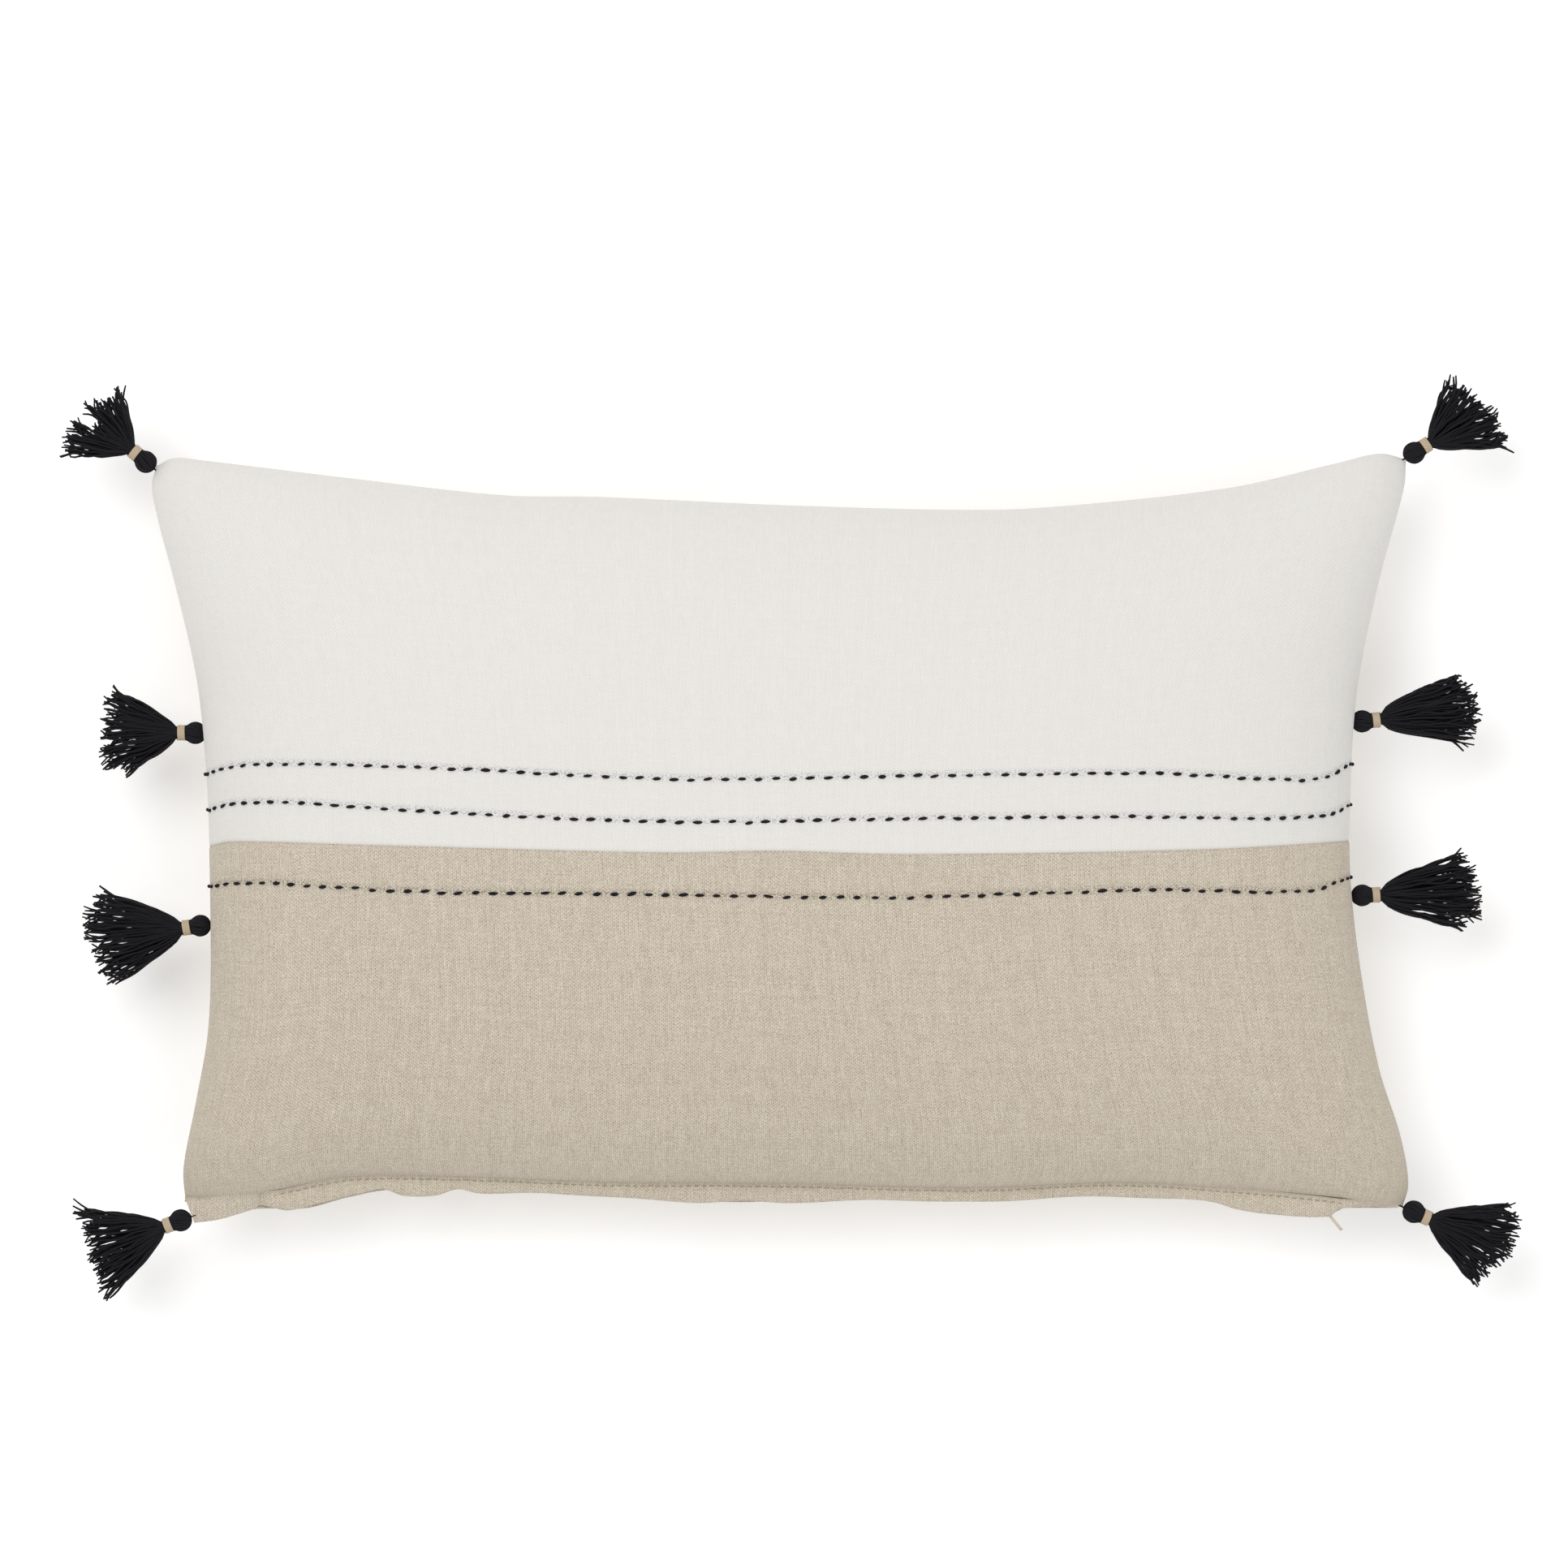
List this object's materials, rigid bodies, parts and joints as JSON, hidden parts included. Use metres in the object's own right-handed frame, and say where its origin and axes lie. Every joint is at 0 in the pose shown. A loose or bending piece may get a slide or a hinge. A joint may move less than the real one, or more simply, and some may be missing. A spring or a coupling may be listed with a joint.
{
  "type": "throw pillow",
  "caption": "Rectangular throw pillow with a two-cloth front, running stitch, a zipped cover over a filled insert, and tassels down its short sides.",
  "frame": {"origin": "on the flat where the back rests, under the middle of the cover", "axes": "+X to the right along the long side, +Y towards the pillow's top edge, +Z out of the front face"},
  "size_m": [0.6376, 0.4019, 0.1086],
  "materials": {
    "white_cotton": "off-white plain-weave cotton, fine and slightly crumpled",
    "oatmeal_linen": "natural oatmeal linen with slubs along both directions",
    "insert_lining": "white non-woven lining",
    "fibre": "white hollow polyester fibre",
    "zip_tape": "beige woven polyester tape",
    "zip_coil": "beige nylon coil",
    "zip_metal": "beige enamel over die-cast metal",
    "linen_thread": "beige polyester sewing thread",
    "black_thread": "black mercerised cotton thread",
    "tan_thread": "tan jute-coloured thread"
  },
  "bodies": {
    "cushion": {"front_panel_white": "white_cotton", "front_panel_linen": "oatmeal_linen", "back_panel": "oatmeal_linen", "insert_panel_front": "insert_lining", "insert_panel_back": "insert_lining", "fibre_fill": "fibre", "zip_tape_front": "zip_tape", "zip_tape_back": "zip_tape", "zip_coil_front": "zip_coil", "zip_coil_back": "zip_coil", "zip_end_stops": "zip_metal", "zip_topstitch": "linen_thread", "stitch_row_upper": "black_thread", "stitch_row_middle": "black_thread", "stitch_row_lower": "black_thread", "tassel_anchor_stitches": "black_thread"},
    "zip_slider": {"zip_slider": "zip_metal"},
    "zip_pull_tab": {"zip_pull_tab": "zip_metal"},
    "tassel_top_left_loop": {"tassel_top_left_loop": "black_thread"},
    "tassel_top_left": {"tassel_top_left_strands": "black_thread", "tassel_top_left_binding": "tan_thread"},
    "tassel_upper_left_loop": {"tassel_upper_left_loop": "black_thread"},
    "tassel_upper_left": {"tassel_upper_left_strands": "black_thread", "tassel_upper_left_binding": "tan_thread"},
    "tassel_lower_left_loop": {"tassel_lower_left_loop": "black_thread"},
    "tassel_lower_left": {"tassel_lower_left_strands": "black_thread", "tassel_lower_left_binding": "tan_thread"},
    "tassel_bottom_left_loop": {"tassel_bottom_left_loop": "black_thread"},
    "tassel_bottom_left": {"tassel_bottom_left_strands": "black_thread", "tassel_bottom_left_binding": "tan_thread"},
    "tassel_top_right_loop": {"tassel_top_right_loop": "black_thread"},
    "tassel_top_right": {"tassel_top_right_strands": "black_thread", "tassel_top_right_binding": "tan_thread"},
    "tassel_upper_right_loop": {"tassel_upper_right_loop": "black_thread"},
    "tassel_upper_right": {"tassel_upper_right_strands": "black_thread", "tassel_upper_right_binding": "tan_thread"},
    "tassel_lower_right_loop": {"tassel_lower_right_loop": "black_thread"},
    "tassel_lower_right": {"tassel_lower_right_strands": "black_thread", "tassel_lower_right_binding": "tan_thread"},
    "tassel_bottom_right_loop": {"tassel_bottom_right_loop": "black_thread"},
    "tassel_bottom_right": {"tassel_bottom_right_strands": "black_thread", "tassel_bottom_right_binding": "tan_thread"}
  },
  "joints": [
    {"name": "zip_slide", "type": "slide", "parent": "cushion", "child": "zip_slider", "axis": [1, 0, 0], "range_m": [-0.44, 0], "deforming": ["zip_coil_front", "zip_coil_back", "zip_tape_front", "zip_tape_back"]},
    {"name": "zip_pull_swing", "type": "hinge", "parent": "zip_slider", "child": "zip_pull_tab", "pos_m": [0.2275, -0.1525, 0.048], "axis": [0, 0, 1], "range_deg": [-104, 18]},
    {"name": "tassel_top_left_sway", "type": "hinge", "parent": "cushion", "child": "tassel_top_left_loop", "pos_m": [-0.27092, 0.15877, 0.048], "axis": [0, 0, 1], "range_deg": [-14, 14]},
    {"name": "tassel_top_left_swing", "type": "hinge", "parent": "tassel_top_left_loop", "child": "tassel_top_left", "pos_m": [-0.27333, 0.1608, 0.048], "axis": [-0.6428, -0.766, 0], "range_deg": [-40, 40]},
    {"name": "tassel_upper_left_sway", "type": "hinge", "parent": "cushion", "child": "tassel_upper_left_loop", "pos_m": [-0.24864, 0.0445, 0.048], "axis": [0, 0, 1], "range_deg": [-14, 14]},
    {"name": "tassel_upper_left_swing", "type": "hinge", "parent": "tassel_upper_left_loop", "child": "tassel_upper_left", "pos_m": [-0.25179, 0.0445, 0.048], "axis": [0, -1, 0], "range_deg": [-40, 40]},
    {"name": "tassel_lower_left_sway", "type": "hinge", "parent": "cushion", "child": "tassel_lower_left_loop", "pos_m": [-0.2466, -0.03817, 0.048], "axis": [0, 0, 1], "range_deg": [-14, 14]},
    {"name": "tassel_lower_left_swing", "type": "hinge", "parent": "tassel_lower_left_loop", "child": "tassel_lower_left", "pos_m": [-0.24972, -0.03861, 0.048], "axis": [0.1392, -0.9903, 0], "range_deg": [-40, 40]},
    {"name": "tassel_bottom_left_sway", "type": "hinge", "parent": "cushion", "child": "tassel_bottom_left_loop", "pos_m": [-0.25513, -0.16441, 0.048], "axis": [0, 0, 1], "range_deg": [-14, 14]},
    {"name": "tassel_bottom_left_swing", "type": "hinge", "parent": "tassel_bottom_left_loop", "child": "tassel_bottom_left", "pos_m": [-0.25809, -0.16549, 0.048], "axis": [0.342, -0.9397, 0], "range_deg": [-40, 40]},
    {"name": "tassel_top_right_sway", "type": "hinge", "parent": "cushion", "child": "tassel_top_right_loop", "pos_m": [0.26952, 0.16314, 0.048], "axis": [0, 0, 1], "range_deg": [-14, 14]},
    {"name": "tassel_top_right_swing", "type": "hinge", "parent": "tassel_top_right_loop", "child": "tassel_top_right", "pos_m": [0.27219, 0.16481, 0.048], "axis": [-0.5299, 0.848, 0], "range_deg": [-40, 40]},
    {"name": "tassel_upper_right_sway", "type": "hinge", "parent": "cushion", "child": "tassel_upper_right_loop", "pos_m": [0.24661, 0.04911, 0.048], "axis": [0, 0, 1], "range_deg": [-14, 14]},
    {"name": "tassel_upper_right_swing", "type": "hinge", "parent": "tassel_upper_right_loop", "child": "tassel_upper_right", "pos_m": [0.24975, 0.04938, 0.048], "axis": [-0.0872, 0.9962, 0], "range_deg": [-40, 40]},
    {"name": "tassel_lower_right_sway", "type": "hinge", "parent": "cushion", "child": "tassel_lower_right_loop", "pos_m": [0.24652, -0.02594, 0.048], "axis": [0, 0, 1], "range_deg": [-14, 14]},
    {"name": "tassel_lower_right_swing", "type": "hinge", "parent": "tassel_lower_right_loop", "child": "tassel_lower_right", "pos_m": [0.24966, -0.02577, 0.048], "axis": [-0.0523, 0.9986, 0], "range_deg": [-40, 40]},
    {"name": "tassel_bottom_right_sway", "type": "hinge", "parent": "cushion", "child": "tassel_bottom_right_loop", "pos_m": [0.2691, -0.16049, 0.048], "axis": [0, 0, 1], "range_deg": [-14, 14]},
    {"name": "tassel_bottom_right_swing", "type": "hinge", "parent": "tassel_bottom_right_loop", "child": "tassel_bottom_right", "pos_m": [0.27197, -0.16177, 0.048], "axis": [0.4067, 0.9135, 0], "range_deg": [-40, 40]}
  ]
}
